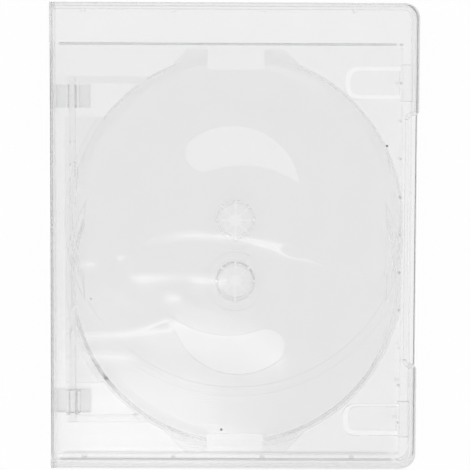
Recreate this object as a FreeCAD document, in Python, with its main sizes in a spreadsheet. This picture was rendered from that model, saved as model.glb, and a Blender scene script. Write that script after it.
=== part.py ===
# Multi-disc keep case of clear polypropylene: back cover, spine, front cover, swing tray and film sleeve.
# Millimetres. The shut case lies on its back: front cover up (+Z), spine at -X, header strip at +Y.
import FreeCAD
import Part
import Sketcher
import math
import os

# Driving dimensions: alias, size and meaning.
SIZES = [
    ("thickness", 14.0, "outer thickness of the shut case"),
    ("panel", 1.6, "cover panel beside the film pocket"),
    ("wall", 1.2, "side walls of both covers"),
    ("corner_radius", 5.6, "rounded corners at the free edge"),
    ("edge_radius", 0.5, "softened outer edges"),
    ("parting_rise", 0.4, "top of the back cover's walls above mid thickness"),
    ("parting_gap", 0.2, "gap between the two covers' walls"),
    ("lip", 0.8, "inner locating lip on the back cover"),
    ("lip_gap", 0.25, "lip to the front cover's walls"),
    ("lip_rise", 2.0, "lip above the back cover's walls"),
    ("lip_start", 4.0, "lip's end from the spine"),
    ("bead", 0.6, "radius of the spine's hinge beads"),
    ("bead_gap", 0.06, "bead to cover panel"),
    ("web_groove", 0.5, "depth of the thinned hinge web's groove"),
    ("web_wide", 0.9, "width of the thinned hinge web"),
    ("header", 14.65, "bare header strip above the film pocket"),
    ("foot_strip", 3.05, "bare strip below the film pocket"),
    ("edge_strip", 6.1, "bare strip beside the film pocket at the free edge"),
    ("film", 0.2, "film thickness"),
    ("film_recess", 0.4, "depth of the film pocket"),
    ("film_lift", 0.1, "film to the floor of its pocket"),
    ("film_margin", 0.25, "film to the sides of its pocket"),
    ("film_mouth", 0.25, "film's open edge to the header"),
    ("notch_length", 92.0, "thumb notch in the front cover's free edge"),
    ("notch_depth", 3.6, "thumb notch into the free edge"),
    ("notch_drop", 1.0, "thumb notch's middle below the case's middle"),
    ("notch_radius", 1.5, "thumb notch corners"),
    ("notch_wall", 1.8, "wall left below the panel along the thumb notch"),
    ("clip_span", 124.2, "between the two booklet clips"),
    ("clip_inset", 6.8, "clip root to the free edge"),
    ("clip_length", 17.9, "clip root to tip"),
    ("clip_bend", 12.2, "clip tip to its bend"),
    ("clip_width", 8.8, "clip tab width"),
    ("clip_thick", 1.0, "clip tab thickness"),
    ("clip_room", 1.8, "booklet's room under the clip"),
    ("clip_ramp", 0.9, "rise of the clip from its bend to its root"),
    ("clip_tip_radius", 2.9, "rounded clip tip"),
    ("block_length", 4.4, "clip's root block along X"),
    ("block_width", 13.2, "clip's root block along Y"),
    ("window_side", 1.5, "moulding window beside the clip"),
    ("window_end", 2.4, "moulding window past the clip's tip"),
    ("rib_pitch", 33.4, "spacing of the alignment ribs"),
    ("rib_first", 11.7, "first alignment rib from the spine's face"),
    ("rib_width", 1.6, "alignment rib along X"),
    ("rib_depth", 0.8, "alignment rib off the wall"),
    ("rib_count", 4, "alignment ribs on each wall"),
    ("axis_inset", 7.9, "tray hinge from the spine's outer face"),
    ("hub_reach", 60.2, "tray hinge to the hubs"),
    ("hub_shift", 11.55, "each hub above or below the tray's middle"),
    ("well_outer", 61.6, "outside of the disc wells' rims"),
    ("rim_land", 0.4, "flat top of a well's rim inside the tray's outline"),
    ("well_slope", 1.6, "how far a well's wall slopes in from its top to its foot"),
    ("well_foot", 3.6, "gentle foot of a well's wall, further in"),
    ("foot_rise", 0.7, "rise of a well's gentle foot off the plate"),
    ("ridge", 1.4, "rim of a well, past the tray's outline radius"),
    ("stop_gap", 0.8, "low stop where a well crosses the other face's well, past the outline radius"),
    ("stop_wide", 3.4, "low stop across"),
    ("stop_rise", 0.5, "low stop off the plate"),
    ("free_margin", 5.3, "tray to the outer free edge"),
    ("foot_margin", 4.45, "tray to the outer bottom edge"),
    ("head_margin", 2.3, "tray to the header strip"),
    ("plate", 1.2, "tray plate"),
    ("rim_rise", 2.6, "tray rims off the plate"),
    ("ear_half", 17.8, "half width of the flat ends of the tray's ears"),
    ("head_ear", 1.0, "upper ears past the round outline"),
    ("foot_ear", 2.8, "lower ears past the round outline"),
    ("finger_width", 21.0, "finger notch between the ears"),
    ("finger_depth", 7.4, "finger notch into the tray"),
    ("hinge_half", 64.2, "half length of the tray's hinge side"),
    ("heel", 2.7, "tray edge behind its hinge axis"),
    ("end_bar", 2.6, "bar at each end of the hinge side"),
    ("gap_length", 12.3, "cut-out for a hinge lug along the tray"),
    ("gusset_near", 26.15, "nearest gusset of the hinge side from the tray's middle"),
    ("gusset_middle", 31.75, "second gusset from the tray's middle"),
    ("gusset_far", 40.25, "farthest gusset from the tray's middle"),
    ("gusset_wide", 0.9, "gusset along the hinge side"),
    ("gusset_rise", 1.0, "gusset off the plate"),
    ("gusset_reach", 2.0, "gusset past the hinge axis, towards the well's ridge"),
    ("rod", 1.2, "hinge rod radius"),
    ("rod_gap", 0.06, "rod to lug, all round"),
    ("lug_length", 8.5, "hinge lug along the rod"),
    ("lug_side", 0.5, "hinge lug to the tray's end bar"),
    ("lug_reach", 6.3, "hinge lug's foot each side of the rod"),
    ("lug_foot", 2.6, "height of the lug's foot off the panel"),
    ("lug_eye", 2.6, "radius of the lug's eye"),
    ("snap", 1.9, "slot that lets the rod snap in"),
    ("hub", 7.3, "hub neck radius, for a 15 mm disc hole"),
    ("hub_wall", 1.3, "hub wall"),
    ("hub_neck", 1.4, "neck above the disc seat"),
    ("hub_nose", 0.7, "tapered nose above the neck"),
    ("hub_roof", 0.8, "thickness of the petals"),
    ("hub_hole", 2.4, "open middle between the petals"),
    ("seat", 11.0, "disc seat radius"),
    ("seat_rise", 1.4, "disc seat off the plate"),
    ("slot", 0.8, "slots between the petals"),
    ("slot_count", 8, "slots round a hub"),
    ("slot_floor", 0.5, "hub left whole below the slots"),
    ("comma_tip_x", 23.7, "pointed end of the comma cut-out from its hub, along X"),
    ("comma_tip_y", 13.15, "pointed end of the comma cut-out from its hub, along Y"),
    ("comma_inner", 20.17, "near side of the comma cut-out from its hub"),
    ("comma_outer", 33.77, "far side of the comma cut-out from its hub"),
    ("comma_turn", 117.76, "round end of the comma cut-out, degrees about its hub"),
    ("comma_outer_arc", 25.0, "radius of the comma's far side"),
    ("comma_inner_arc", 35.5, "radius of the comma's near side"),
    ("comma_cap", 0.07, "comma's round end past a half circle's radius, which makes it run on smoothly"),
]

doc = FreeCAD.newDocument("disc_case")
sheet = doc.addObject("Spreadsheet::Sheet", "dims")
for row, (alias, size, meaning) in enumerate(SIZES, start=1):
    sheet.set(f"A{row}", meaning)
    sheet.set(f"B{row}", str(size))
    sheet.setAlias(f"B{row}", alias)
doc.recompute()

ALONG_X = FreeCAD.Vector(1, 0, 0)
ALONG_Z = FreeCAD.Vector(0, 0, 1)
FLAT = FreeCAD.Rotation()
# A sketch stood up on the XZ plane: its x is X and its y is Z.
UPRIGHT = FreeCAD.Rotation(ALONG_X, 90)
HANGING = FreeCAD.Rotation(ALONG_X, -90)

# Places worked out from the driving dimensions, as expressions.
WIDTH = "(dims.axis_inset + dims.hub_reach + dims.well_outer + dims.free_margin)"
ROUND_HALF = "(dims.hub_shift + dims.well_outer)"
TRAY_LENGTH = f"(dims.foot_ear + 2 * {ROUND_HALF} + dims.head_ear)"
HEIGHT = f"(dims.foot_margin + {TRAY_LENGTH} + dims.head_margin + dims.header)"
RIGHT = f"({WIDTH} / 2)"
LEFT = f"(-{RIGHT})"
TOP = f"({HEIGHT} / 2)"
FOOT = f"(-{TOP})"
COVER_LEFT = f"({LEFT} + 2 * dims.bead + dims.bead_gap)"
PARTING = "(dims.thickness / 2 + dims.parting_rise)"
FRONT_FOOT = f"({PARTING} + dims.parting_gap)"
FRONT_INSIDE = "(dims.thickness - dims.panel)"
LIP_OUT = "(dims.wall + dims.lip_gap)"
LIP_IN = f"({LIP_OUT} + dims.lip)"
AXIS_X = f"({LEFT} + dims.axis_inset)"
AXIS_Z = "(dims.thickness / 2)"
TRAY_MIDDLE = f"({FOOT} + dims.foot_margin + dims.foot_ear + {ROUND_HALF})"
TRAY_HEAD = f"({TRAY_MIDDLE} + {ROUND_HALF} + dims.head_ear)"
TRAY_FOOT = f"({TRAY_MIDDLE} - {ROUND_HALF} - dims.foot_ear)"
HUB_X = f"({AXIS_X} + dims.hub_reach)"
WELL_TOP = "(dims.well_outer - dims.rim_land)"
WELL_BEND = f"({WELL_TOP} - dims.well_slope)"
WELL_FLOOR = f"({WELL_BEND} - dims.well_foot)"
RIDGE_OUTER = "(dims.well_outer + dims.ridge)"
POCKET_TOP = f"({TOP} - dims.header)"
POCKET_FOOT = f"({FOOT} + dims.foot_strip)"
POCKET_RIGHT = f"({RIGHT} - dims.edge_strip)"
NOTCH_TOP = "(dims.notch_length / 2 - dims.notch_drop)"
NOTCH_FOOT = "(-dims.notch_length / 2 - dims.notch_drop)"
LUG_END = "(dims.hinge_half - dims.end_bar - dims.lug_side)"
PAST = 1.0  # how far a cut runs past the material that it removes
TOUCHING = 1e-6  # places nearer than this count as one
POINTS = ("edge", "start", "end")  # a sketch line's points, in the order that constraints number them


def number(expression):
    """The present value of an expression."""
    return float(sheet.evalExpression(str(expression)))


def rounded(corners):
    """Corners as (x, y, arc radius of the side that leaves it or None), with each corner that asks for
    a round replaced by the two ends of its arc. Such a corner joins two sides along the sketch's axes."""
    places = [(number(c[0]), number(c[1])) for c in corners]
    points = []
    for i, corner in enumerate(corners):
        x, y, *finish = corner
        kind, radius = finish if finish else (None, None)
        if kind != "round":
            points.append((x, y, radius, -1 if kind == "hollow" else 1))
            continue
        here = places[i]
        before = places[i - 1]
        after = places[(i + 1) % len(places)]
        arrive = [sign(before[k] - here[k]) for k in (0, 1)]
        leave = [sign(after[k] - here[k]) for k in (0, 1)]
        bend = arrive[0] * leave[1] - arrive[1] * leave[0]
        points.append((f"{x} + {arrive[0]} * {radius}", f"{y} + {arrive[1]} * {radius}", radius, bend))
        points.append((f"{x} + {leave[0]} * {radius}", f"{y} + {leave[1]} * {radius}", None, 1))
    return points


def sign(value):
    """-1, 0 or 1, with near zero as 0."""
    return 0 if abs(value) < TOUCHING else int(math.copysign(1, value))


def draw(sketch, outlines):
    """Draws closed outlines, each a clockwise list of corners (x, y), (x, y, "round", radius),
    (x, y, "arc", radius) where the side that leaves the corner bulges outwards with that radius, or
    (x, y, "hollow", radius) where that side curves inwards."""
    for corners in outlines:
        points = rounded(corners)
        first = sketch.GeometryCount
        starts = []
        for i, (x, y, radius, bend) in enumerate(points):
            end = points[(i + 1) % len(points)]
            a = FreeCAD.Vector(number(x), number(y), 0)
            b = FreeCAD.Vector(number(end[0]), number(end[1]), 0)
            if radius is None:
                sketch.addGeometry(Part.LineSegment(a, b), False)
                starts.append("start")
                continue
            chord = b - a
            off = math.sqrt(max(number(radius) ** 2 - (chord.Length / 2) ** 2, 0))
            side = FreeCAD.Vector(chord.y, -chord.x, 0).normalize() * off * bend
            middle = (a + b) * 0.5 + side
            turns = [math.atan2(p.y - middle.y, p.x - middle.x) for p in (a, b)]
            ends = turns[::-1] if bend > 0 else turns
            circle = Part.Circle(middle, ALONG_Z, number(radius))
            sketch.addGeometry(Part.ArcOfCircle(circle, *ends), False)
            starts.append("end" if bend > 0 else "start")
        for i, (x, y, radius, bend) in enumerate(points):
            j = (i + 1) % len(points)
            side = first + i
            start = POINTS.index(starts[i])
            end = POINTS.index("end" if starts[i] == "start" else "start")
            following = POINTS.index(starts[j])
            sketch.addConstraint(Sketcher.Constraint("Coincident", side, end, first + j, following))
            bind(sketch, Sketcher.Constraint("DistanceX", side, start, number(x)), x)
            bind(sketch, Sketcher.Constraint("DistanceY", side, start, number(y)), y)
            if radius is not None:
                bind(sketch, Sketcher.Constraint("Radius", side, number(radius)), radius)


def bind(sketch, constraint, expression):
    """Adds a constraint whose size follows the sheet."""
    index = sketch.addConstraint(constraint)
    sketch.setExpression(f"Constraints[{index}]", str(expression))


def body_sketch(body, name, plane, offset, *outlines):
    """A sketch in a body, on one of its origin planes moved along that plane's normal."""
    sketch = body.newObject("Sketcher::SketchObject", name)
    support = [f for f in body.Origin.OriginFeatures if f.Role == plane][0]
    sketch.AttachmentSupport = (support, [""])
    sketch.MapMode = "FlatFace"
    sketch.setExpression("AttachmentOffset.Base.z", offset)
    draw(sketch, outlines)
    doc.recompute()
    return sketch


def pad(body, sketch, length, reverse=False):
    """Adds material from a sketch."""
    feature = body.newObject("PartDesign::Pad", f"{sketch.Label}_pad")
    feature.Profile = sketch
    feature.Reversed = reverse
    feature.setExpression("Length", length)
    doc.recompute()
    return feature


def pocket(body, sketch, length, reverse=False):
    """Cuts material from a sketch, against the sketch's normal unless reversed, and sees that it cut."""
    before = body.Shape.Volume
    feature = body.newObject("PartDesign::Pocket", f"{sketch.Label}_cut")
    feature.Profile = sketch
    feature.Reversed = reverse
    feature.setExpression("Length", length)
    doc.recompute()
    if body.Shape.Volume >= before - TOUCHING:
        raise RuntimeError(f"{feature.Label} cut nothing")
    return feature


def soften_rim(body, level):
    """Rounds the outer edges at one height, apart from the edge beside the spine."""
    base = body.Tip
    height = number(level)
    spine_side = number(COVER_LEFT)
    names = []
    for index, edge in enumerate(base.Shape.Edges, start=1):
        box = edge.BoundBox
        flat = abs(box.ZMin - height) < TOUCHING and abs(box.ZMax - height) < TOUCHING
        if flat and box.XMax > spine_side + TOUCHING:
            names.append(f"Edge{index}")
    fillet = body.newObject("PartDesign::Fillet", f"{body.Label}_edges")
    fillet.Base = (base, names)
    fillet.setExpression("Radius", "dims.edge_radius")
    doc.recompute()


def rectangle(left, right, low, high):
    """A clockwise rectangle."""
    return [(left, high), (right, high), (right, low), (left, low)]


def shell_outline(inset, left):
    """A cover's outline, set in by a distance and run to the given left side."""
    radius = f"(dims.corner_radius - {inset})"
    right = f"({RIGHT} - {inset})"
    top = f"({TOP} - {inset})"
    foot = f"({FOOT} + {inset})"
    return [(left, top), (right, top, "round", radius), (right, foot, "round", radius), (left, foot)]


def film_pocket():
    """The shallow recess of a cover's outer face that the film lies in."""
    return rectangle(f"({COVER_LEFT} - {PAST})", POCKET_RIGHT, POCKET_FOOT, POCKET_TOP)


def make_back_cover():
    """Tray-shaped moulding: panel, walls with an inner lip, alignment ribs and two snap lugs."""
    body = doc.addObject("PartDesign::Body", "back_cover")
    pad(body, body_sketch(body, "back_outline", "XY_Plane", "0", shell_outline("0", COVER_LEFT)), PARTING)
    soften_rim(body, "0")
    cavity = shell_outline(LIP_IN, f"({COVER_LEFT} - {PAST})")
    pocket(body, body_sketch(body, "back_cavity", "XY_Plane", PARTING, cavity), f"{PARTING} - dims.panel")
    lip_left = f"({COVER_LEFT} + dims.lip_start)"
    lip = shell_outline(LIP_OUT, lip_left) + shell_outline(LIP_IN, lip_left)[::-1]
    pad(body, body_sketch(body, "back_lip", "XY_Plane", PARTING, lip), "dims.lip_rise")
    # The lip leaves room for the two end walls of the other cover's thumb notch.
    gap_sides = (f"{RIGHT} - {LIP_IN} - dims.lip_gap", f"{RIGHT} - dims.wall")
    gaps = [
        rectangle(*gap_sides, f"{NOTCH_TOP} - dims.lip_gap", f"{NOTCH_TOP} + {LIP_OUT}"),
        rectangle(*gap_sides, f"{NOTCH_FOOT} - {LIP_OUT}", f"{NOTCH_FOOT} + dims.lip_gap"),
    ]
    gap_sketch = body_sketch(body, "lip_gaps", "XY_Plane", f"{PARTING} + dims.lip_rise", *gaps)
    pocket(body, gap_sketch, "dims.lip_rise")
    recess = body_sketch(body, "back_film_pocket", "XY_Plane", "0", film_pocket())
    pocket(body, recess, "dims.film_recess", reverse=True)

    ribs = []
    wall_in = f"({TOP} - {LIP_IN})"
    for i in range(int(number("dims.rib_count"))):
        left = f"({LEFT} + dims.rib_first + {i} * dims.rib_pitch - dims.rib_width / 2)"
        right = f"({left} + dims.rib_width)"
        ribs.append(rectangle(left, right, f"{wall_in} - dims.rib_depth", f"{wall_in} + dims.lip / 2"))
        ribs.append(rectangle(left, right, f"-{wall_in} - dims.lip / 2", f"-{wall_in} + dims.rib_depth"))
    rib_sketch = body_sketch(body, "alignment_ribs", "XY_Plane", "dims.panel", *ribs)
    pad(body, rib_sketch, f"{PARTING} - dims.panel")

    foot_top = "(dims.panel + dims.lug_foot)"
    eye = "dims.lug_eye"
    lug = [
        (f"{AXIS_X} - dims.lug_reach", "dims.panel"),
        (f"{AXIS_X} - dims.lug_reach", foot_top),
        (f"{AXIS_X} - {eye}", foot_top),
        (f"{AXIS_X} - {eye}", AXIS_Z, "arc", eye),
        (AXIS_X, f"{AXIS_Z} + {eye}", "arc", eye),
        (f"{AXIS_X} + {eye}", AXIS_Z),
        (f"{AXIS_X} + {eye}", foot_top),
        (f"{AXIS_X} + dims.lug_reach", foot_top),
        (f"{AXIS_X} + dims.lug_reach", "dims.panel"),
    ]
    upper_end = f"({TRAY_MIDDLE} + {LUG_END})"
    lower_end = f"({TRAY_MIDDLE} - {LUG_END} + dims.lug_length)"
    for name, end in (("upper_lug", upper_end), ("lower_lug", lower_end)):
        pad(body, body_sketch(body, name, "XZ_Plane", f"-{end}", lug), "dims.lug_length")
    span = f"2 * {LUG_END}"
    bore = "(dims.rod + dims.rod_gap)"
    hole = [
        (f"{AXIS_X} - {bore}", AXIS_Z, "arc", bore),
        (AXIS_X, f"{AXIS_Z} + {bore}", "arc", bore),
        (f"{AXIS_X} + {bore}", AXIS_Z, "arc", bore),
        (AXIS_X, f"{AXIS_Z} - {bore}", "arc", bore),
    ]
    pocket(body, body_sketch(body, "rod_bore", "XZ_Plane", f"-{upper_end}", hole), span, reverse=True)
    mouth = rectangle(
        f"{AXIS_X} - dims.snap / 2", f"{AXIS_X} + dims.snap / 2", AXIS_Z, f"{AXIS_Z} + {eye} + {PAST}"
    )
    pocket(body, body_sketch(body, "snap_mouth", "XZ_Plane", f"-{upper_end}", mouth), span, reverse=True)
    return body


def make_front_cover():
    """Lid moulding: panel, walls, thumb notch, and two booklet clips under their moulding windows."""
    body = doc.addObject("PartDesign::Body", "front_cover")

    def outline(inset, left):
        """The cover's outline with its thumb notch, set in by a distance."""
        corners = shell_outline(inset, left)
        outside = f"({RIGHT} - {inset})"
        inside = f"({RIGHT} - dims.notch_depth - {inset})"
        convex = f"(dims.notch_radius - {inset})"
        hollow = f"(dims.notch_radius + {inset})"
        notch = [
            (outside, f"({NOTCH_TOP} + {inset})", "round", convex),
            (inside, f"({NOTCH_TOP} + {inset})", "round", hollow),
            (inside, f"({NOTCH_FOOT} - {inset})", "round", hollow),
            (outside, f"({NOTCH_FOOT} - {inset})", "round", convex),
        ]
        return corners[:2] + notch + corners[2:]

    depth = f"(dims.thickness - {FRONT_FOOT})"
    pad(body, body_sketch(body, "front_outline", "XY_Plane", FRONT_FOOT, outline("0", COVER_LEFT)), depth)
    soften_rim(body, "dims.thickness")
    cavity = outline("dims.wall", f"({COVER_LEFT} - {PAST})")
    cavity_sketch = body_sketch(body, "front_cavity", "XY_Plane", FRONT_FOOT, cavity)
    pocket(body, cavity_sketch, f"{FRONT_INSIDE} - {FRONT_FOOT}", reverse=True)
    low_wall = rectangle(
        f"{RIGHT} - dims.notch_depth - dims.wall - {PAST}", f"{RIGHT} - dims.notch_depth + {PAST}",
        f"{NOTCH_FOOT} + dims.notch_radius", f"{NOTCH_TOP} - dims.notch_radius",
    )
    low_wall_sketch = body_sketch(body, "notch_wall", "XY_Plane", FRONT_FOOT, low_wall)
    pocket(body, low_wall_sketch, f"{FRONT_INSIDE} - dims.notch_wall - {FRONT_FOOT}", reverse=True)
    recess = body_sketch(body, "front_film_pocket", "XY_Plane", "dims.thickness", film_pocket())
    pocket(body, recess, "dims.film_recess")

    root = f"({RIGHT} - dims.clip_inset)"
    tip = f"({root} - dims.clip_length)"
    tab_top = f"({FRONT_INSIDE} - dims.clip_room)"
    tab_foot = f"({tab_top} - dims.clip_thick)"
    for name, side in (("upper", 1), ("lower", -1)):
        middle = f"({TRAY_MIDDLE} + {side} * dims.clip_span / 2)"
        half = "dims.clip_width / 2"
        open_half = f"({half} + dims.window_side)"
        window_round = "(dims.clip_tip_radius + dims.window_side)"
        window = [
            (f"{tip} - dims.window_end", f"{middle} + {open_half}", "round", window_round),
            (root, f"{middle} + {open_half}"),
            (root, f"{middle} - {open_half}"),
            (f"{tip} - dims.window_end", f"{middle} - {open_half}", "round", window_round),
        ]
        window_sketch = body_sketch(body, f"{name}_window", "XY_Plane", "dims.thickness", window)
        pocket(body, window_sketch, "dims.panel")
        block_half = "dims.block_width / 2"
        block = rectangle(
            root, f"{root} + dims.block_length", f"{middle} - {block_half}", f"{middle} + {block_half}"
        )
        block_sketch = body_sketch(body, f"{name}_block", "XY_Plane", tab_foot, block)
        pad(body, block_sketch, f"{FRONT_INSIDE} - {tab_foot}")
        tab = [
            (tip, f"{middle} + {half}", "round", "dims.clip_tip_radius"),
            (f"{root} + dims.wall", f"{middle} + {half}"),
            (f"{root} + dims.wall", f"{middle} - {half}"),
            (tip, f"{middle} - {half}", "round", "dims.clip_tip_radius"),
        ]
        pad(body, body_sketch(body, f"{name}_tab", "XY_Plane", tab_foot, tab), "dims.clip_thick")
        ramp = [
            (f"{tip} + dims.clip_bend", tab_top),
            (root, f"{tab_top} + dims.clip_ramp"),
            (root, tab_top),
        ]
        ramp_sketch = body_sketch(body, f"{name}_ramp", "XZ_Plane", f"-({middle} + {half})", ramp)
        pad(body, ramp_sketch, "dims.clip_width")
    return body


def make_spine():
    """Panel with a round bead along each living hinge, thinned webs inside and the film pocket outside."""
    body = doc.addObject("PartDesign::Body", "spine")
    middle = f"({LEFT} + dims.bead)"
    inner = f"({LEFT} + 2 * dims.bead)"
    low = "dims.bead"
    high = "(dims.thickness - dims.bead)"
    section = [
        (LEFT, low),
        (LEFT, high, "arc", low),
        (middle, "dims.thickness", "arc", low),
        (inner, high),
        (inner, low, "arc", low),
        (middle, "0", "arc", low),
    ]
    pad(body, body_sketch(body, "spine_section", "XZ_Plane", FOOT, section), HEIGHT)
    recess = rectangle(POCKET_FOOT, POCKET_TOP, f"-{PAST}", f"dims.thickness + {PAST}")
    recess_sketch = body_sketch(body, "spine_film_pocket", "YZ_Plane", LEFT, recess)
    pocket(body, recess_sketch, "dims.film_recess", reverse=True)
    web_low = "(2 * dims.bead + dims.bead_gap)"
    web_high = f"({web_low} + dims.web_wide)"
    ends = (f"{FOOT} - {PAST}", f"{TOP} + {PAST}")
    webs = [
        rectangle(*ends, web_low, web_high),
        rectangle(*ends, f"dims.thickness - {web_high}", f"dims.thickness - {web_low}"),
    ]
    pocket(body, body_sketch(body, "hinge_webs", "YZ_Plane", inner, *webs), "dims.web_groove")
    return body


def placed_sketch(name, turn, x, y, z, *outlines):
    """A sketch of its own, turned and moved to a place."""
    sketch = doc.addObject("Sketcher::SketchObject", name)
    draw(sketch, outlines)
    put(sketch, turn, x, y, z)
    return sketch


def put(thing, turn, x, y, z):
    """Turns an object and binds its place to the sheet."""
    thing.Placement = FreeCAD.Placement(FreeCAD.Vector(), turn)
    for axis, place in zip("xyz", (x, y, z)):
        thing.setExpression(f"Placement.Base.{axis}", str(place))
    doc.recompute()
    return thing


def extrude(name, sketch, forward, backward="0"):
    """A solid drawn out of a sketch along Z, both ways."""
    solid = doc.addObject("Part::Extrusion", name)
    solid.Base = sketch
    solid.DirMode = "Custom"
    solid.Dir = ALONG_Z
    solid.Solid = True
    solid.setExpression("LengthFwd", forward)
    solid.setExpression("LengthRev", backward)
    return solid


def revolve(name, sketch, x, y):
    """A solid turned about an upright axis."""
    solid = doc.addObject("Part::Revolution", name)
    solid.Source = sketch
    solid.Axis = ALONG_Z
    solid.setExpression("Base.x", x)
    solid.setExpression("Base.y", y)
    solid.Solid = True
    return solid


def box(name, x, y, z, length, width, height, turn=FLAT):
    """A block with one corner at a place."""
    block = doc.addObject("Part::Box", name)
    block.setExpression("Length", length)
    block.setExpression("Width", width)
    block.setExpression("Height", height)
    return put(block, turn, x, y, z)


def join(name, pieces):
    """Several solids fused into one."""
    solid = doc.addObject("Part::MultiFuse", name)
    solid.Shapes = pieces
    solid.Refine = True
    doc.recompute()
    return solid


def subtract(name, base, tool):
    """One solid cut by another."""
    solid = doc.addObject("Part::Cut", name)
    solid.Base = base
    solid.Tool = tool
    solid.Refine = True
    doc.recompute()
    return solid


def tray_outline():
    """Stadium round both disc wells, with slant-sided ears at its ends and a straight hinge side."""
    reach = "dims.well_outer"
    left = f"({AXIS_X} - dims.heel)"
    right = f"({HUB_X} + {reach})"
    meet = f"({HUB_X} - sqrt({reach} ^ 2 - (dims.hinge_half - dims.hub_shift) ^ 2))"
    ear_left = f"({HUB_X} - dims.ear_half)"
    ear_right = f"({HUB_X} + dims.ear_half)"
    y = TRAY_MIDDLE
    head_x, head_y = ear_root("dims.head_ear")
    foot_x, foot_y = ear_root("dims.foot_ear")
    return [
        (left, f"{y} + dims.hinge_half"),
        (meet, f"{y} + dims.hinge_half", "arc", reach),
        (f"{HUB_X} - {head_x}", f"{y} + {head_y}"),
        (ear_left, TRAY_HEAD),
        (ear_right, TRAY_HEAD),
        (f"{HUB_X} + {head_x}", f"{y} + {head_y}", "arc", reach),
        (right, f"{y} + dims.hub_shift"),
        (right, f"{y} - dims.hub_shift", "arc", reach),
        (f"{HUB_X} + {foot_x}", f"{y} - {foot_y}"),
        (ear_right, TRAY_FOOT),
        (ear_left, TRAY_FOOT),
        (f"{HUB_X} - {foot_x}", f"{y} - {foot_y}", "arc", reach),
        (meet, f"{y} - dims.hinge_half"),
        (left, f"{y} - dims.hinge_half"),
    ]


def ear_root(rise):
    """Where an ear's side, slanting at half a right angle, leaves the round outline: its distances from the
    hubs' line and from the tray's middle."""
    reach = "dims.well_outer"
    span = f"(dims.ear_half + {reach} + {rise})"
    apart = f"sqrt(2 * {reach} ^ 2 - {span} ^ 2)"
    return f"({span} - {apart}) / 2", f"(dims.hub_shift + ({span} + {apart}) / 2)"


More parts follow.
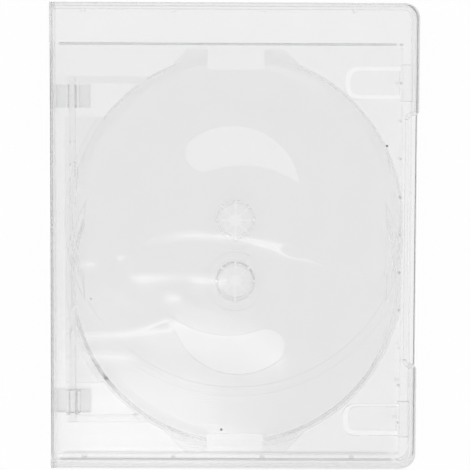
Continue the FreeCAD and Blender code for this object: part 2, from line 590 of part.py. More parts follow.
def make_swing_tray():
    """Leaf on a hinge rod, with a disc well on each face: rim, low stop, petal hub, cut-outs, gussets."""
    face = "dims.plate / 2"
    outline = placed_sketch("tray_outline", FLAT, "0", "0", f"{AXIS_Z} - {face}", tray_outline())
    plate = extrude("tray_plate", outline, "dims.plate")
    blank = extrude("tray_blank", outline, "dims.plate + dims.rim_rise", "dims.rim_rise")
    rim_top = f"({face} + dims.rim_rise)"
    ring = [
        (WELL_FLOOR, "0"),
        (WELL_FLOOR, face),
        (WELL_BEND, f"({face} + dims.foot_rise)"),
        (WELL_TOP, rim_top),
        (RIDGE_OUTER, rim_top),
        (RIDGE_OUTER, "0"),
    ]
    stop_top = f"({face} + dims.stop_rise)"
    stop_in = "(dims.well_outer + dims.stop_gap)"
    stop_out = f"({stop_in} + dims.stop_wide)"
    stop = [(stop_in, "0"), (stop_in, stop_top), (stop_out, stop_top), (stop_out, "0")]
    seat_top = f"({face} + dims.seat_rise)"
    neck_top = f"({seat_top} + dims.hub_neck)"
    nose_top = f"({neck_top} + dims.hub_nose)"
    inside = "(dims.hub - dims.hub_wall)"
    hub = [
        (inside, "0"),
        (inside, f"{nose_top} - dims.hub_roof"),
        ("dims.hub_hole", f"{nose_top} - dims.hub_roof"),
        ("dims.hub_hole", nose_top),
        ("dims.hub - dims.hub_nose", nose_top),
        ("dims.hub", neck_top),
        ("dims.hub", seat_top),
        ("dims.seat", seat_top),
        ("dims.seat", "0"),
    ]

    gusset_top = f"({face} + dims.gusset_rise)"

    tall = "(dims.plate + 2 * dims.rim_rise)"
    rings = []
    stops = []
    hubs = []
    cuts = []
    slots = []
    gussets = []
    for name, side, up, spin in (("front", 1, UPRIGHT, 0), ("back", -1, HANGING, 180)):
        hub_y = f"({TRAY_MIDDLE} + {side} * dims.hub_shift)"
        other_y = f"({TRAY_MIDDLE} - {side} * dims.hub_shift)"
        # The tall rim follows the outline only. Across the other face's well there is a low stop instead.
        ring_sketch = placed_sketch(f"{name}_ring", up, HUB_X, hub_y, AXIS_Z, ring)
        well = revolve(f"{name}_well", ring_sketch, HUB_X, hub_y)
        rings.append(subtract(f"{name}_rim", well, drum(f"{name}_clear", WELL_FLOOR, tall, other_y)))
        stop_sketch = placed_sketch(f"{name}_stop", up, HUB_X, hub_y, AXIS_Z, stop)
        crossing = doc.addObject("Part::Common", f"{name}_crossing")
        crossing.Base = revolve(f"{name}_stop_ring", stop_sketch, HUB_X, hub_y)
        crossing.Tool = drum(f"{name}_across", WELL_TOP, tall, other_y)
        stops.append(crossing)
        hub_sketch = placed_sketch(f"{name}_hub", up, HUB_X, hub_y, AXIS_Z, hub)
        hubs.append(revolve(f"{name}_petals", hub_sketch, HUB_X, hub_y))
        cuts.append(drum(f"{name}_core", inside, "dims.plate", hub_y))
        cuts.append(make_comma(name, FreeCAD.Rotation(ALONG_Z, spin), hub_y))
        slot_foot = f"({face} + dims.slot_floor)"
        slot_height = f"({nose_top} - {slot_foot} + {PAST})"
        slot_low = f"{AXIS_Z} + {slot_foot}" if side > 0 else f"{AXIS_Z} - {slot_foot} - {slot_height}"
        count = int(number("dims.slot_count"))
        for i in range(count):
            slots.append(make_slot(f"{name}_slot_{i}", hub_y, slot_low, slot_height, 360 * i / count))
        cuts.append(make_lug_gap(name, side, hub_y, tall))
        deep = f"(dims.finger_depth + {PAST})"
        low = f"{TRAY_HEAD} - dims.finger_depth" if side > 0 else f"{TRAY_FOOT} - {PAST}"
        cuts.append(box(
            f"{name}_finger", f"{HUB_X} - dims.finger_width / 2", low, f"{AXIS_Z} - {tall} / 2",
            "dims.finger_width", deep, tall,
        ))
        gusset_low = AXIS_Z if side > 0 else f"{AXIS_Z} - {gusset_top}"
        for place in ("gusset_near", "gusset_middle", "gusset_far"):
            spot = f"dims.{place}"
            gussets.append(box(
                f"{name}_{place}", f"{AXIS_X} - dims.heel",
                f"{TRAY_MIDDLE} + {side} * {spot} - dims.gusset_wide / 2", gusset_low,
                "dims.heel + dims.gusset_reach", "dims.gusset_wide", gusset_top,
            ))

    rims = doc.addObject("Part::Common", "tray_rims")
    rims.Base = join("tray_rings", rings)
    rims.Tool = blank
    leaf = subtract("tray_leaf", join("tray_moulding", [plate, rims, *stops]), join("tray_cuts", cuts))
    petals = subtract("tray_hubs", join("tray_hub_rings", hubs), join("tray_slots", slots))
    rod = doc.addObject("Part::Cylinder", "hinge_rod")
    rod.setExpression("Radius", "dims.rod")
    rod.setExpression("Height", "2 * dims.hinge_half")
    put(rod, HANGING, AXIS_X, f"{TRAY_MIDDLE} - dims.hinge_half", AXIS_Z)
    return join("swing_tray", [leaf, petals, rod, *gussets])


def drum(name, radius, height, hub_y):
    """An upright cylinder round a hub's axis, as far above the tray's middle as below it."""
    thing = doc.addObject("Part::Cylinder", name)
    thing.setExpression("Radius", radius)
    thing.setExpression("Height", height)
    return put(thing, FLAT, HUB_X, hub_y, f"{AXIS_Z} - {height} / 2")


def make_comma(name, turn, hub_y):
    """The comma-shaped cut-out beside a hub, right through the plate."""
    spread = "dims.comma_turn * 1deg"
    cap = "((dims.comma_outer - dims.comma_inner) / 2 + dims.comma_cap)"
    far = [f"dims.comma_outer * {turned}({spread})" for turned in ("cos", "sin")]
    near = [f"dims.comma_inner * {turned}({spread})" for turned in ("cos", "sin")]
    outline = [
        (*far, "arc", "dims.comma_outer_arc"),
        ("dims.comma_tip_x", "dims.comma_tip_y", "hollow", "dims.comma_inner_arc"),
        (*near, "arc", cap),
    ]
    sketch = placed_sketch(f"{name}_comma", turn, HUB_X, hub_y, f"{AXIS_Z} - dims.plate / 2", outline)
    return extrude(f"{name}_window", sketch, "dims.plate")


def make_slot(name, hub_y, low, height, angle):
    """One radial slot between two petals, from the hub's middle outwards."""
    x = f"{HUB_X} + sin({angle} * 1deg) * dims.slot / 2"
    y = f"{hub_y} - cos({angle} * 1deg) * dims.slot / 2"
    turn = FreeCAD.Rotation(ALONG_Z, angle)
    return box(name, x, y, low, f"(dims.hub + {PAST} / 2)", "dims.slot", height, turn)


def make_lug_gap(name, side, hub_y, tall):
    """The cut-out at one end of the hinge side that a lug stands in, up to the disc well's rim."""
    far = "(dims.hinge_half - dims.end_bar)"
    low = f"{TRAY_MIDDLE} + {far} - dims.gap_length" if side > 0 else f"{TRAY_MIDDLE} - {far}"
    length = f"(dims.heel + dims.hub_reach - dims.ear_half + {PAST})"
    gap = box(
        f"{name}_gap_block", f"{AXIS_X} - dims.heel - {PAST}", low, f"{AXIS_Z} - {tall} / 2",
        length, "dims.gap_length", tall,
    )
    return subtract(f"{name}_gap", gap, drum(f"{name}_gap_well", "dims.well_outer", tall, hub_y))


def make_sleeves():
    """The film over each panel, lying just inside its pocket."""
    low = f"({POCKET_FOOT} + dims.film_margin)"
    width = f"({POCKET_TOP} - dims.film_mouth - {low})"
    length = f"({POCKET_RIGHT} - dims.film_margin - {COVER_LEFT})"
    skin = "(dims.film_recess - dims.film_lift - dims.film)"
    front_low = f"dims.thickness - {skin} - dims.film"
    between = "(dims.thickness - 2 * dims.bead)"
    return [
        box("sleeve_front", COVER_LEFT, low, front_low, length, width, "dims.film"),
        box("sleeve_spine", f"{LEFT} + {skin}", low, "dims.bead", "dims.film", width, between),
        box("sleeve_back", COVER_LEFT, low, skin, length, width, "dims.film"),
    ]


nodes = [make_back_cover(), make_front_cover(), make_spine(), make_swing_tray(), *make_sleeves()]
doc.recompute()

failed = [thing.Label for thing in doc.Objects if {"Invalid", "Error"} & set(thing.State)]
for node in nodes:
    if node.Shape.isNull() or not node.Shape.isValid() or len(node.Shape.Solids) != 1:
        failed.append(node.Label)
if failed:
    raise RuntimeError(f"failed: {failed}")

os.makedirs("parts", exist_ok=True)
for node in nodes:
    node.Shape.exportStep(f"parts/{node.Label}.step")
    size = node.Shape.BoundBox
    print(f"{node.Label}: {node.Shape.Volume / 1000:.2f} cm3,", size)
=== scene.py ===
import math

import bmesh
import bpy
import numpy as np
from mathutils import Matrix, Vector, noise


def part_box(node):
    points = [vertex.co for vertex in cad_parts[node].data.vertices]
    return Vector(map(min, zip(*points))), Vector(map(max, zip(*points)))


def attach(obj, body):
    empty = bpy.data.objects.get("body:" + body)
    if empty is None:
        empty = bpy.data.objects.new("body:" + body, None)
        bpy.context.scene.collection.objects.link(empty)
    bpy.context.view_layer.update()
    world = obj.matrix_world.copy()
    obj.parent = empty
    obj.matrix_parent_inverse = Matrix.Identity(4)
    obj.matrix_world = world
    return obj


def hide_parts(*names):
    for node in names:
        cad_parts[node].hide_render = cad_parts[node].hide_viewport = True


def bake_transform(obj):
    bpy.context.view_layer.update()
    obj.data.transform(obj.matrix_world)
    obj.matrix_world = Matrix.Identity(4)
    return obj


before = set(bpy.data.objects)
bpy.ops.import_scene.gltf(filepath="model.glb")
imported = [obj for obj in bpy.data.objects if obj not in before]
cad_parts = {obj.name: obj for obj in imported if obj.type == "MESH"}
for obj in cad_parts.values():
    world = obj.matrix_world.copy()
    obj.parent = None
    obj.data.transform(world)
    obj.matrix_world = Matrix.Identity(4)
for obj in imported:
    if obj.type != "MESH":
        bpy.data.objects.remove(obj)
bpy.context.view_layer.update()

# Back cover, spine and front cover: one injection moulding of clear polypropylene on the real case, with two
# living hinges that let the covers fold about the spine. The polymer is clear but a little milky, so a panel
# seen face on stays pale, while a wall seen along its height goes grey.

MM = 0.001  # a millimetre in metres


def linear(code):
    """An sRGB hex colour as the linear colour that nodes take."""
    shares = [int(code[i:i + 2], 16) / 255 for i in (1, 3, 5)]
    return [s / 12.92 if s <= 0.04045 else ((s + 0.055) / 1.055) ** 2.4 for s in shares] + [1.0]


def add(tree, kind, inputs=(), **settings):
    """Adds a node with its settings, and with its inputs set to values or linked to other nodes' outputs,
    several of them where an input joins a tuple of outputs."""
    made = tree.nodes.new(kind)
    for name, value in settings.items():
        setattr(made, name, value)
    for key, value in dict(inputs).items():
        sources = value if isinstance(value, tuple) else (value,)
        if isinstance(sources[0], bpy.types.NodeSocket):
            for source in sources:
                tree.links.new(source, made.inputs[key])
        else:
            made.inputs[key].default_value = value
    return made


def moulded_polypropylene(name, pale, deep, grey, absorption, clearness, haze, rounding=0, dull=None):
    """Clear moulded polypropylene: smooth tool faces with slow flow waves and a faint fine texture, which
    soften its gloss unevenly. Light is lost along its way through, the more the denser the absorption. Where
    dull, a function of the tree and of the place, gives 1, the tool was spark-eroded and the face is matt.
    rounding is the radius that the tool leaves on sharp edges."""
    FLOW_WAVE = 14 * MM
    TOOL_GRAIN = 0.9 * MM  # drawn coarser than a tool's real grain, which is too fine to show
    HAZE_SPREAD = 0.04
    MATT_ROUGHNESS = 0.6
    material = bpy.data.materials.new(name)
    material.use_nodes = True
    tree = material.node_tree
    tree.nodes.clear()
    place = add(tree, "ShaderNodeTexCoord").outputs["Object"]
    waves = add(tree, "ShaderNodeTexNoise", {
        "Vector": place, "Scale": 1 / FLOW_WAVE, "Detail": 3.0,
    }).outputs["Fac"]
    grain = add(tree, "ShaderNodeTexNoise", {
        "Vector": place, "Scale": 1 / TOOL_GRAIN, "Detail": 2.0,
    }).outputs["Fac"]
    tint = add(tree, "ShaderNodeMix", {
        0: waves, 6: linear(pale), 7: linear(deep),
    }, data_type="RGBA").outputs[2]
    gloss = add(tree, "ShaderNodeMapRange", {
        "Value": grain, "To Min": haze - HAZE_SPREAD, "To Max": haze + HAZE_SPREAD,
    }).outputs["Result"]
    if dull:
        matt = dull(tree, place)
        gloss = add(tree, "ShaderNodeMix", {
            0: matt, 2: gloss, 3: MATT_ROUGHNESS,
        }, data_type="FLOAT").outputs[0]
        tint = add(tree, "ShaderNodeMix", {
            0: matt, 6: tint, 7: linear("#f2f3f4"),
        }, data_type="RGBA").outputs[2]
    slow = add(tree, "ShaderNodeBump", {
        "Height": waves, "Strength": 0.06, "Distance": 0.2 * MM,
    }).outputs["Normal"]
    fine = add(tree, "ShaderNodeBump", {
        "Height": grain, "Strength": 0.04, "Distance": 0.02 * MM, "Normal": slow,
    }).outputs["Normal"]
    if rounding:
        fine = add(tree, "ShaderNodeBevel", {
            "Radius": rounding, "Normal": fine,
        }, samples=6).outputs["Normal"]
    surface = add(tree, "ShaderNodeBsdfPrincipled", {
        "Base Color": tint, "Roughness": gloss, "Normal": fine,
        "IOR": 1.42, "Transmission Weight": clearness,
    }).outputs["BSDF"]
    depth = add(tree, "ShaderNodeVolumeAbsorption", {
        "Color": linear(grey), "Density": absorption,
    }).outputs["Volume"]
    add(tree, "ShaderNodeOutputMaterial", {"Surface": surface, "Volume": depth})
    return material


def lug_mask(tree, place):
    """1 on the feet of the two lugs that carry the tray, beside the spine, and 0 elsewhere."""
    TRAY_MIDDLE = -5.35 * MM
    LUG_SPREAD = 56.85 * MM
    LUG_HALF = 4.3 * MM
    LUG_INNER = -53 * MM
    LUG_FOOT = 2.95 * MM
    FOOT_HALF = 1.3 * MM
    at = add(tree, "ShaderNodeSeparateXYZ", {"Vector": place}).outputs
    along = add(tree, "ShaderNodeMath", {0: at["Y"], 1: TRAY_MIDDLE}, operation="SUBTRACT").outputs[0]
    away = add(tree, "ShaderNodeMath", {0: along}, operation="ABSOLUTE").outputs[0]
    level_with = add(tree, "ShaderNodeMath", {
        0: away, 1: LUG_SPREAD, 2: LUG_HALF,
    }, operation="COMPARE").outputs[0]
    beside = add(tree, "ShaderNodeMath", {0: at["X"], 1: LUG_INNER}, operation="LESS_THAN").outputs[0]
    above = add(tree, "ShaderNodeMath", {
        0: at["Z"], 1: LUG_FOOT, 2: FOOT_HALF,
    }, operation="COMPARE").outputs[0]
    near = add(tree, "ShaderNodeMath", {0: level_with, 1: beside}, operation="MULTIPLY").outputs[0]
    return add(tree, "ShaderNodeMath", {0: near, 1: above}, operation="MULTIPLY").outputs[0]


COVER_LOOK = {
    "pale": "#fbfbfb", "deep": "#f9f9f9", "grey": "#c4c6c8", "absorption": 14.0,
    "clearness": 0.995, "haze": 0.12, "rounding": 0.35 * MM,
}
cover_plastic = moulded_polypropylene("clear_moulded_polypropylene", **COVER_LOOK)
lug_plastic = moulded_polypropylene("clear_polypropylene_with_matt_lugs", **COVER_LOOK, dull=lug_mask)
for node, plastic in (("back_cover", lug_plastic), ("spine", cover_plastic), ("front_cover", cover_plastic)):
    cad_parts[node].data.materials.clear()
    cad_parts[node].data.materials.append(plastic)

# Specks: grains of charred polymer that froze into the front panel when it was moulded. Each is a dark,
# rough lump in the middle of the panel's thickness, and shows through the clear plastic as a dot.

scene = bpy.context.scene
SPECKS = [(55.9, 33.8, 0.42), (-4.4, -71.3, 0.45), (-52.5, -22.8, 0.28)]  # place and radius in millimetres
SPECK_LEVEL = 13.0 * MM
SPECK_FLAT = 0.6  # thickness for its width
LUMP_SIZE = 0.3 * MM
LUMP_RISE = 0.06 * MM
CRUMB_SIZE = 0.2 * MM

lumps = bmesh.new()
for x, y, radius in SPECKS:
    place = Matrix.Translation((x * MM, y * MM, SPECK_LEVEL)) @ Matrix.Diagonal((1, 1, SPECK_FLAT, 1))
    bmesh.ops.create_icosphere(lumps, subdivisions=2, radius=radius * MM, matrix=place)
for corner in lumps.verts:
    corner.co += noise.noise_vector(corner.co / LUMP_SIZE) * LUMP_RISE
speck_mesh = bpy.data.meshes.new("panel_specks")
lumps.to_mesh(speck_mesh)
lumps.free()
specks = bpy.data.objects.new("panel_specks", speck_mesh)
scene.collection.objects.link(specks)
char = bpy.data.materials.new("charred_polypropylene")
char.use_nodes = True
tree = char.node_tree
tree.nodes.clear()
place = add(tree, "ShaderNodeTexCoord").outputs["Object"]
crumb = add(tree, "ShaderNodeTexNoise", {
    "Vector": place, "Scale": 1 / CRUMB_SIZE, "Detail": 2.0,
}).outputs["Fac"]
brown = add(tree, "ShaderNodeMix", {
    0: crumb, 6: linear("#8a8684"), 7: linear("#5c5856"),
}, data_type="RGBA").outputs[2]
burnt = add(tree, "ShaderNodeBsdfPrincipled", {
    "Base Color": brown, "Roughness": 0.7, "IOR": 1.49,
}).outputs["BSDF"]
add(tree, "ShaderNodeOutputMaterial", {"Surface": burnt})
speck_mesh.materials.append(char)
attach(specks, "front_cover")

# Swing tray: a separate moulding of the same polymer, a little milkier, snapped by its rod into two lugs of
# the back cover. Each face has a disc well with a petal hub.

TRAY_LOOK = {
    "pale": "#fcfcfc", "deep": "#fbfbfb", "grey": "#c0c2c4", "absorption": 20.0,
    "clearness": 0.995, "haze": 0.09,
}
tray_plastic = moulded_polypropylene("milky_moulded_polypropylene", **TRAY_LOOK)
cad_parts["swing_tray"].data.materials.clear()
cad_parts["swing_tray"].data.materials.append(tray_plastic)

# Film sleeve: one clear polypropylene film welded to the covers along their feet and free edges and left
# open below the header, so that a printed sheet slides in. It spans both folds and ripples where it isn't
# held.

FILM_THICK = 0.2 * MM
FINE_STEP = 1.2 * MM  # mesh step of the creased front film
PLAIN_STEP = 2.5 * MM  # mesh step of the plain back film
FREE_RISE = 14 * MM  # how far in from a weld a crease reaches its full height
FILM_GAP = 0.1 * MM  # film to the floor of its pocket
FOLD_RUN = 5 * MM  # how far in from the hinge bead the film starts to climb over it
WRAP_STEPS = 5
SPINE_STEPS = 9
CORNER_CUTS = 3  # rounds of cutting a path's corners, so that a crease runs in a smooth line
CREASES = [
    # height and half width of a crease, then the points it follows, all in millimetres on the front face
    (0.30, 1.9, [(-60, -9), (-48, -7.6), (-38, -5)]),
    (0.75, 4.6, [(-44, -5.4), (-32.5, 0.8), (-20.5, 4.0), (-9, 3.8), (6, 2.6), (22, -1.5)]),
    (0.42, 3.0, [(22, -2.5), (30, -7.4), (41, -9.8)]),
    (1.10, 5.8, [(-38, -12.6), (-28, -11.4), (-15, -11), (-2, -12)]),
    (0.30, 3.0, [(-34, -20.2), (-27, -20.2), (-20, -20)]),
    (0.88, 12.5, [(-20, -23), (-5, -25), (12, -30), (20, -37)]),
    (0.27, 2.8, [(-58, -35), (-38, -34), (-25, -30)]),
    (0.26, 2.6, [(-63, -42), (-50, -42), (-38, -42.5)]),
    (0.26, 9.0, [(-52, -55), (-30, -51), (-8, -53)]),
]


def film_lift(across, along):
    """How far the film stands off its panel in metres, at places in metres on the panel."""
    lift = np.zeros_like(across)
    for height, half_width, path in CREASES:
        points = np.array(path) * MM
        for _ in range(CORNER_CUTS):
            ahead = points[:-1] * 0.75 + points[1:] * 0.25
            behind = points[:-1] * 0.25 + points[1:] * 0.75
            between = np.stack([ahead, behind], axis=1).reshape(-1, 2)
            points = np.concatenate([points[:1], between, points[-1:]])
        nearest = np.full(across.shape, np.inf)
        for (ax, ay), (bx, by) in zip(points[:-1], points[1:]):
            run = np.array([bx - ax, by - ay])
            share = ((across - ax) * run[0] + (along - ay) * run[1]) / (run @ run)
            share = np.clip(share, 0, 1)
            gap = np.hypot(across - ax - share * run[0], along - ay - share * run[1])
            nearest = np.minimum(nearest, gap)
        lift += height * MM * np.exp(-(nearest / (half_width * MM)) ** 2)
    return lift


def film_material():
    """Clear oriented film: glossy, almost without colour, with a faint drawn grain along its length."""
    DRAW_GRAIN = 2.5 * MM  # drawn coarser than the film's real draw lines
    material = bpy.data.materials.new("clear_polypropylene_film")
    material.use_nodes = True
    tree = material.node_tree
    tree.nodes.clear()
    place = add(tree, "ShaderNodeTexCoord").outputs["Object"]
    drawn = add(tree, "ShaderNodeMapping", {"Vector": place, "Scale": (1.0, 0.08, 1.0)}).outputs["Vector"]
    grain = add(tree, "ShaderNodeTexNoise", {
        "Vector": drawn, "Scale": 1 / DRAW_GRAIN, "Detail": 2.0,
    }).outputs["Fac"]
    gloss = add(tree, "ShaderNodeMapRange", {
        "Value": grain, "To Min": 0.06, "To Max": 0.13,
    }).outputs["Result"]
    surface = add(tree, "ShaderNodeBsdfPrincipled", {
        "Base Color": linear("#ffffff"), "Roughness": gloss, "IOR": 1.49, "Transmission Weight": 1.0,
    }).outputs["BSDF"]
    add(tree, "ShaderNodeOutputMaterial", {"Surface": surface})
    return material


def film_half(name, sign, panel_node, step, material):
    """The film over one cover's panel and on round the fold to the middle of the spine. sign is 1 for the
    front and -1 for the back. The mesh thins to nothing at the film's cut edges."""
    low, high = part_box(panel_node)
    level = (low.z + high.z) / 2
    spine_low, spine_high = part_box("spine")
    bead = (spine_high.x - spine_low.x) / 2
    bead_x = spine_low.x + bead
    bead_z = spine_high.z - bead if sign > 0 else spine_low.z + bead
    wrap_low, wrap_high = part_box("sleeve_spine")
    side = (wrap_low.x + wrap_high.x) / 2
    middle = (wrap_low.z + wrap_high.z) / 2
    # The film climbs from the panel over the spine's bead, goes round the corner where the spine's pocket
    # cuts that bead, and runs down the spine to its middle.
    reach = bead + FILM_THICK / 2
    panel = np.linspace(high.x, bead_x, int((high.x - bead_x) / step) + 1)
    near = np.clip(1 - (panel - bead_x) / FOLD_RUN, 0, 1)
    climb = (bead_z + sign * reach - level) * near * near * (3 - 2 * near)
    corner_x = wrap_high.x + FILM_GAP
    corner_turn = math.asin((bead_x - corner_x) / bead)
    corner_z = bead_z + sign * bead * math.cos(corner_turn)
    turns = np.linspace(corner_turn, math.pi / 2, WRAP_STEPS)
    wrap_x = corner_x - FILM_THICK / 2 * np.sin(turns)
    wrap_z = corner_z + sign * FILM_THICK / 2 * np.cos(turns)
    drop_z = np.linspace(corner_z, middle, SPINE_STEPS)[1:]
    drop_x = np.full(len(drop_z), side)
    route_x = np.concatenate([panel, wrap_x, drop_x])
    route_z = np.concatenate([level + climb, wrap_z, drop_z])
    along = np.linspace(low.y, high.y, int((high.y - low.y) / step) + 1)
    x, y = np.meshgrid(route_x, along, indexing="ij")
    z = np.repeat(route_z[:, None], len(along), axis=1)
    held = np.minimum(np.minimum(high.x - x, x - low.x), y - low.y) / FREE_RISE
    hold = np.clip(held, 0, 1)
    if sign > 0:
        z = z + film_lift(x, y) * hold * hold * (3 - 2 * hold)
    middle_sheet = np.stack([x, y, z], axis=-1)
    tangent_u = np.gradient(middle_sheet, axis=0)
    tangent_v = np.gradient(middle_sheet, axis=1)
    normal = np.cross(tangent_v, tangent_u) * sign
    normal /= np.linalg.norm(normal, axis=-1, keepdims=True)
    half = np.full(x.shape, FILM_THICK / 2)
    half[0] = half[-1] = 0
    half[:, 0] = half[:, -1] = 0
    outer = middle_sheet + normal * half[..., None]
    inner = middle_sheet - normal * half[..., None]
    rows, columns = x.shape
    number = np.arange(rows * columns).reshape(rows, columns)
    under = number.copy()
    inside = under[1:-1, 1:-1]
    inside[:] = rows * columns + np.arange(inside.size).reshape(inside.shape)
    faces = []
    for grid, flip in ((number, sign < 0), (under, sign > 0)):
        for i in range(rows - 1):
            for j in range(columns - 1):
                face = [grid[i, j], grid[i, j + 1], grid[i + 1, j + 1], grid[i + 1, j]]
                faces.append([int(c) for c in (face[::-1] if flip else face)])
    points = np.concatenate([outer.reshape(-1, 3), inner[1:-1, 1:-1].reshape(-1, 3)])
    mesh = bpy.data.meshes.new(name)
    mesh.from_pydata(points.tolist(), [], faces)
    mesh.polygons.foreach_set("use_smooth", [True] * len(mesh.polygons))
    rim = set(int(c) for c in np.concatenate([number[0], number[-1], number[:, 0], number[:, -1]]))
    for edge in mesh.edges:
        edge.use_edge_sharp = edge.vertices[0] in rim and edge.vertices[1] in rim
    mesh.materials.append(material)
    film = bpy.data.objects.new(name, mesh)
    scene.collection.objects.link(film)
    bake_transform(film)
    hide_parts(panel_node)
    return film


clear_film = film_material()
front_film = film_half("film_front", 1, "sleeve_front", FINE_STEP, clear_film)
film_half("film_back", -1, "sleeve_back", PLAIN_STEP, clear_film)
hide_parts("sleeve_spine")

# Sealed edges of the film: a hot bar trims it and leaves a fine bead along its open edge and its foot, and
# pins its free edge to the cover with a row of weld spots. The molten film sets cloudy, so its rim shows as
# a grey line.

BEAD_HALF = 0.4 * MM
BEAD_RISE = 0.12 * MM
BEAD_END = 2.3 * MM  # the bar stops short of the film's corners
SPOT_PITCH = 13 * MM
SPOT_HALF = 0.6 * MM


def sealed_material():
    """Film that has melted and set again: cloudy, uneven and dull."""
    CLOUD = 1.2 * MM  # drawn coarser than the real clouding, which is too fine to show
    material = bpy.data.materials.new("hot_sealed_polypropylene")
    material.use_nodes = True
    tree = material.node_tree
    tree.nodes.clear()
    place = add(tree, "ShaderNodeTexCoord").outputs["Object"]
    cloud = add(tree, "ShaderNodeTexNoise", {
        "Vector": place, "Scale": 1 / CLOUD, "Detail": 3.0,
    }).outputs["Fac"]
    tint = add(tree, "ShaderNodeMix", {
        0: cloud, 6: linear("#fafbfb"), 7: linear("#f3f4f5"),
    }, data_type="RGBA").outputs[2]
    dull = add(tree, "ShaderNodeMapRange", {
        "Value": cloud, "To Min": 0.25, "To Max": 0.5,
    }).outputs["Result"]
    pitted = add(tree, "ShaderNodeBump", {
        "Height": cloud, "Strength": 0.3, "Distance": 0.05 * MM,
    }).outputs["Normal"]
    surface = add(tree, "ShaderNodeBsdfPrincipled", {
        "Base Color": tint, "Roughness": dull, "Normal": pitted, "IOR": 1.49, "Transmission Weight": 1.0,
    }).outputs["BSDF"]
    add(tree, "ShaderNodeOutputMaterial", {"Surface": surface})
    return material


seal = bpy.data.node_groups.new("hot_bar_seal", "GeometryNodeTree")
seal.interface.new_socket("Geometry", in_out="OUTPUT", socket_type="NodeSocketGeometry")
for label in (
    "Left", "Right", "Edge", "Mouth", "Foot", "Level", "Bead Half", "Bead Rise", "Spot Pitch", "Spot Half",
):
    seal.interface.new_socket(label, in_out="INPUT", socket_type="NodeSocketFloat")
given = add(seal, "NodeGroupInput").outputs
corners = {}
for side in ("Left", "Right", "Edge"):
    for end in ("Mouth", "Foot"):
        corners[side, end] = add(seal, "ShaderNodeCombineXYZ", {
            0: given[side], 1: given[end], 2: given["Level"],
        }).outputs[0]
mouth_line, free_line, foot_line = (
    add(seal, "GeometryNodeCurvePrimitiveLine", {"Start": corners[a], "End": corners[b]}).outputs["Curve"]
    for a, b in (
        (("Left", "Mouth"), ("Right", "Mouth")),
        (("Edge", "Mouth"), ("Edge", "Foot")),
        (("Right", "Foot"), ("Left", "Foot")),
    )
)
round_section = add(seal, "GeometryNodeCurvePrimitiveCircle", {
    "Resolution": 10, "Radius": 1.0,
}).outputs["Curve"]
flatness = add(seal, "ShaderNodeCombineXYZ", {
    0: given["Bead Half"], 1: given["Bead Rise"], 2: 1.0,
}).outputs[0]
section = add(seal, "GeometryNodeTransform", {
    "Geometry": round_section, "Scale": flatness,
}).outputs["Geometry"]
lines = add(seal, "GeometryNodeJoinGeometry", {
    "Geometry": (mouth_line, foot_line),
}).outputs["Geometry"]
beads = add(seal, "GeometryNodeCurveToMesh", {
    "Curve": lines, "Profile Curve": section, "Fill Caps": True,
}).outputs["Mesh"]
places = add(seal, "GeometryNodeResampleCurve", {
    "Curve": free_line, "Length": given["Spot Pitch"],
}, mode="LENGTH").outputs["Curve"]
ball = add(seal, "GeometryNodeMeshUVSphere", {"Segments": 12, "Rings": 6, "Radius": 1.0}).outputs["Mesh"]
spot_size = add(seal, "ShaderNodeCombineXYZ", {
    0: given["Spot Half"], 1: given["Spot Half"], 2: given["Bead Rise"],
}).outputs[0]
spot = add(seal, "GeometryNodeTransform", {"Geometry": ball, "Scale": spot_size}).outputs["Geometry"]
uneven = add(seal, "FunctionNodeRandomValue", {2: 0.6, 3: 1.0, "Seed": 7}, data_type="FLOAT").outputs[1]
spots = add(seal, "GeometryNodeInstanceOnPoints", {
    "Points": places, "Instance": spot, "Scale": uneven,
}).outputs["Instances"]
whole = add(seal, "GeometryNodeJoinGeometry", {"Geometry": (beads, spots)}).outputs["Geometry"]
real = add(seal, "GeometryNodeRealizeInstances", {"Geometry": whole}).outputs["Geometry"]
done = add(seal, "GeometryNodeSetMaterial", {
    "Geometry": real, "Material": sealed_material(),
}).outputs["Geometry"]
add(seal, "NodeGroupOutput", {0: done})


def sealed_edge(name, cover, panel_node):
    """The bead and weld spots round the film of one cover, just inside its pocket."""
    low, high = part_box(panel_node)
    inset = BEAD_HALF / 2
    sizes = {
        "Left": low.x + BEAD_END, "Right": high.x - BEAD_END, "Edge": high.x - SPOT_HALF / 2,
        "Mouth": high.y - inset, "Foot": low.y + inset, "Level": (low.z + high.z) / 2,
        "Bead Half": BEAD_HALF, "Bead Rise": BEAD_RISE, "Spot Pitch": SPOT_PITCH, "Spot Half": SPOT_HALF,
    }
    edge = bpy.data.objects.new(name, bpy.data.meshes.new(f"{name}_start"))
    scene.collection.objects.link(edge)
    modifier = edge.modifiers.new("seal", "NODES")
    modifier.node_group = seal
    for item in seal.interface.items_tree:
        if item.in_out == "INPUT":
            modifier[item.identifier] = sizes[item.name]
    edge.data = bpy.data.meshes.new_from_object(edge.evaluated_get(bpy.context.evaluated_depsgraph_get()))
    edge.modifiers.remove(modifier)
    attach(edge, cover)


sealed_edge("film_edge_front", "front_cover", "sleeve_front")
sealed_edge("film_edge_back", "back_cover", "sleeve_back")

# Floor, lamps and camera: a white sweep, soft light from above and a camera over the case, a little towards
# its header, at a distance fitted to the photograph.


def seen_rays(tree):
    """1 for the rays that look, straight, mirrored or through the plastic, and 0 for those that light."""
    path = add(tree, "ShaderNodeLightPath").outputs
    seen = path["Is Camera Ray"]
    for kind in ("Is Glossy Ray", "Is Transmission Ray"):
        seen = add(tree, "ShaderNodeMath", {
            0: seen, 1: path[kind],
        }, operation="ADD", use_clamp=True).outputs[0]
    return seen


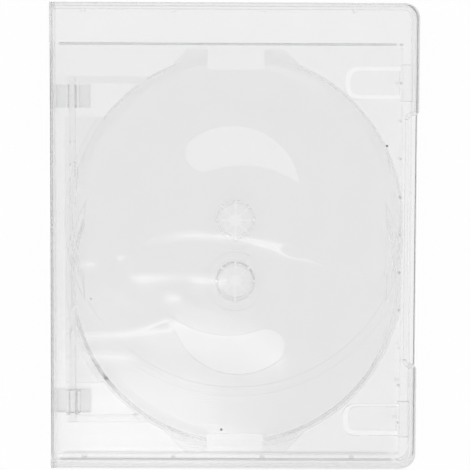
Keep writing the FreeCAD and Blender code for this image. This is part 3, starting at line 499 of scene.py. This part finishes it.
REACH = 3.0
DROP = 0.25 * MM  # room for the film, which bulges below the case where it goes over the hinge bead
SWEEP_GLOW = 0.97  # share of its own glow in what a looking ray finds on it
floor_mesh = bpy.data.meshes.new("floor")
floor_corners = [(x * REACH, y * REACH, -DROP) for x, y in ((-1, -1), (1, -1), (1, 1), (-1, 1))]
floor_mesh.from_pydata(floor_corners, [], [(0, 1, 2, 3)])
floor = bpy.data.objects.new("floor", floor_mesh)
scene.collection.objects.link(floor)
white = bpy.data.materials.new("white_sweep")
white.use_nodes = True
tree = white.node_tree
tree.nodes.clear()
share = add(tree, "ShaderNodeMath", {0: seen_rays(tree), 1: SWEEP_GLOW}, operation="MULTIPLY").outputs[0]
lit = add(tree, "ShaderNodeBsdfDiffuse", {"Color": linear("#f8f8f8")}).outputs["BSDF"]
glow = add(tree, "ShaderNodeEmission", {"Color": linear("#ffffff"), "Strength": 1.0}).outputs["Emission"]
mixed = add(tree, "ShaderNodeMixShader", {0: share, 1: lit, 2: glow}).outputs[0]
add(tree, "ShaderNodeOutputMaterial", {"Surface": mixed})
floor.data.materials.append(white)

HORIZON_LEVEL = 0.85  # what a looking ray finds at the horizon
FULL_RISE = 0.4  # sine of the height from which on it finds white
ROOM_LIGHT = 0.8  # what lights the case
world = bpy.data.worlds.new("studio")
scene.world = world
world.use_nodes = True
tree = world.node_tree
tree.nodes.clear()
aim = add(tree, "ShaderNodeTexCoord").outputs["Generated"]
rise = add(tree, "ShaderNodeSeparateXYZ", {"Vector": aim}).outputs["Z"]
room = add(tree, "ShaderNodeMapRange", {
    "Value": rise, "From Max": FULL_RISE, "To Min": HORIZON_LEVEL, "To Max": 1.0,
}).outputs["Result"]
level = add(tree, "ShaderNodeMix", {
    0: seen_rays(tree), 2: ROOM_LIGHT, 3: room,
}, data_type="FLOAT").outputs[0]
sky = add(tree, "ShaderNodeBackground", {
    "Color": linear("#ffffff"), "Strength": level,
}).outputs["Background"]
add(tree, "ShaderNodeOutputWorld", {"Surface": sky})


def soft_box(name, width, depth, place, aim, power):
    """A rectangular studio lamp that faces the point aim, in metres and watts."""
    lamp = bpy.data.lights.new(name, "AREA")
    lamp.shape = "RECTANGLE"
    lamp.size = width
    lamp.size_y = depth
    lamp.energy = power
    thing = bpy.data.objects.new(name, lamp)
    scene.collection.objects.link(thing)
    thing.location = place
    away = [a - b for a, b in zip(place, aim)]
    turn = math.atan2(math.hypot(away[0], away[1]), away[2])
    thing.rotation_euler = (turn, 0, math.atan2(away[0], -away[1]))


# Two small boxes above the case, past its foot, glint on the film's creases. A wide one stands beyond the
# header, on the spine's side.
soft_box("near_box", 0.176, 0.07, (-0.06, -0.326, 1.0), (0, 0, 0), 0.074)
soft_box("fill_box", 0.165, 0.105, (-0.077, -0.232, 1.0), (0, 0, 0), 0.028)
soft_box("far_box", 0.8, 0.8, (-0.9, 0.7, 1.0), (0, 0, 0), 1.9)

LENS = 146.72  # millimetres, on a sensor 36 mm wide
CAMERA_PLACE = (-3.47, 56.63, 714)  # millimetres
CAMERA_TURN = (-4.545, -0.298, 0.218)  # degrees
BOUNCES = 40  # a ray goes through a dozen faces of clear plastic, and meets many more inside a wall
camera = bpy.data.cameras.new("camera")
camera.sensor_width = 36
camera.lens = LENS
camera.clip_start = 0.01
viewer = bpy.data.objects.new("camera", camera)
scene.collection.objects.link(viewer)
viewer.location = [distance * MM for distance in CAMERA_PLACE]
viewer.rotation_euler = [math.radians(angle) for angle in CAMERA_TURN]
scene.camera = viewer
scene.view_settings.view_transform = "Standard"
scene.cycles.max_bounces = BOUNCES
scene.cycles.transmission_bounces = BOUNCES
scene.cycles.glossy_bounces = BOUNCES
